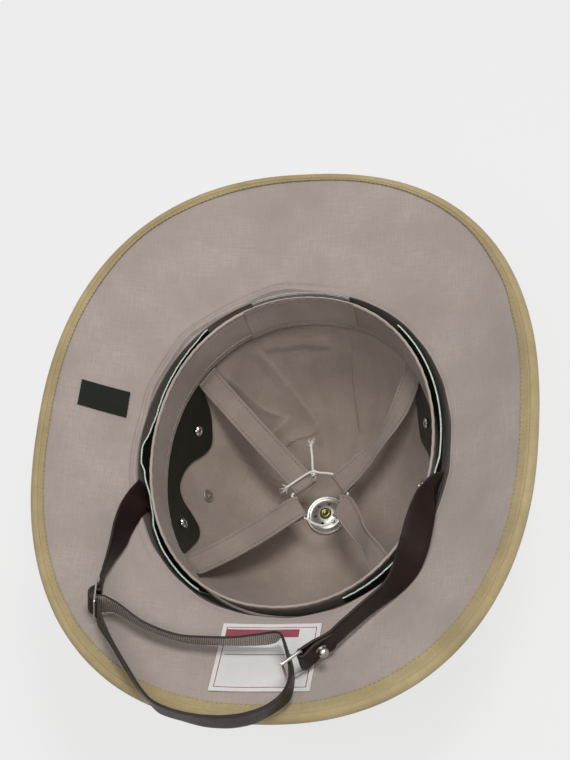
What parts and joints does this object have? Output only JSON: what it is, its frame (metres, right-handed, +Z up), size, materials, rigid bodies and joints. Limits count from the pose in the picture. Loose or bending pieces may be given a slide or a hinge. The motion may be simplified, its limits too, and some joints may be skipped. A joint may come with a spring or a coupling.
{
  "type": "pith helmet",
  "caption": "Cloth-covered pith helmet lying on its crown, with a bound brim, ventilated sweatband, cradle tapes, blank labels and a leather chin strap.",
  "frame": {"origin": "centre of the flat end of the ventilator cap, on which the upturned helmet rests", "axes": "+Z up out of the hollow, +Y towards the sweatband's joint, -Y towards the chin strap's side, +X to the right seen from -Y"},
  "size_m": [0.3022, 0.3607, 0.1805],
  "materials": {
    "pith_core": "pressed cork and pith, matt",
    "outer_cloth": "khaki cotton drill, matt",
    "lining_cloth": "taupe cotton drill, matt",
    "sweatband_cloth": "taupe cotton drill over a stiffener, matt",
    "joint_cloth": "dark taupe cotton, stitched, matt",
    "binding_tape": "olive-tan cotton tape, matt",
    "spacer_fibre": "dark green lacquered fibre, satin, pale cut edge",
    "cradle_tape": "taupe cotton tape, matt",
    "drawstring_cotton": "white braided cotton, matt",
    "strap_leather": "dark brown grained leather, satin; grey ribbed back",
    "fitting_steel": "nickel-plated steel, polished",
    "knob_cloth": "cloth-covered cap, matt",
    "washer_zinc": "zinc-plated, dull",
    "nut_brass": "brass, dull",
    "label_dark_cloth": "blank dark woven patch, matt",
    "label_white_cloth": "blank white woven patch with a red border, matt"
  },
  "bodies": {
    "root": {"crown_shell": "pith_core", "brim_shell": "pith_core", "cover": "outer_cloth", "hat_band": "outer_cloth", "brim_lining": "lining_cloth", "crown_lining": "lining_cloth", "sweatband": "sweatband_cloth", "sweatband_joint": "joint_cloth", "brim_binding": "binding_tape", "spacer_left": "spacer_fibre", "spacer_right": "spacer_fibre", "tape_rear_left": "cradle_tape", "tape_rear_right": "cradle_tape", "tape_front_left": "cradle_tape", "tape_front_right": "cradle_tape", "drawstring": "drawstring_cotton", "chin_strap": "strap_leather", "short_strap": "strap_leather", "strap_slide": "fitting_steel", "strap_loop": "fitting_steel", "strap_stud": "fitting_steel", "eyelet_left": "fitting_steel", "eyelet_right": "fitting_steel", "rivet_left_rear": "fitting_steel", "rivet_left_front": "fitting_steel", "rivet_right_rear": "fitting_steel", "rivet_right_front": "fitting_steel", "ventilator_knob": "knob_cloth", "ventilator_washer": "washer_zinc", "ventilator_nut": "nut_brass", "label_dark": "label_dark_cloth", "label_white": "label_white_cloth"}
  },
  "joints": []
}
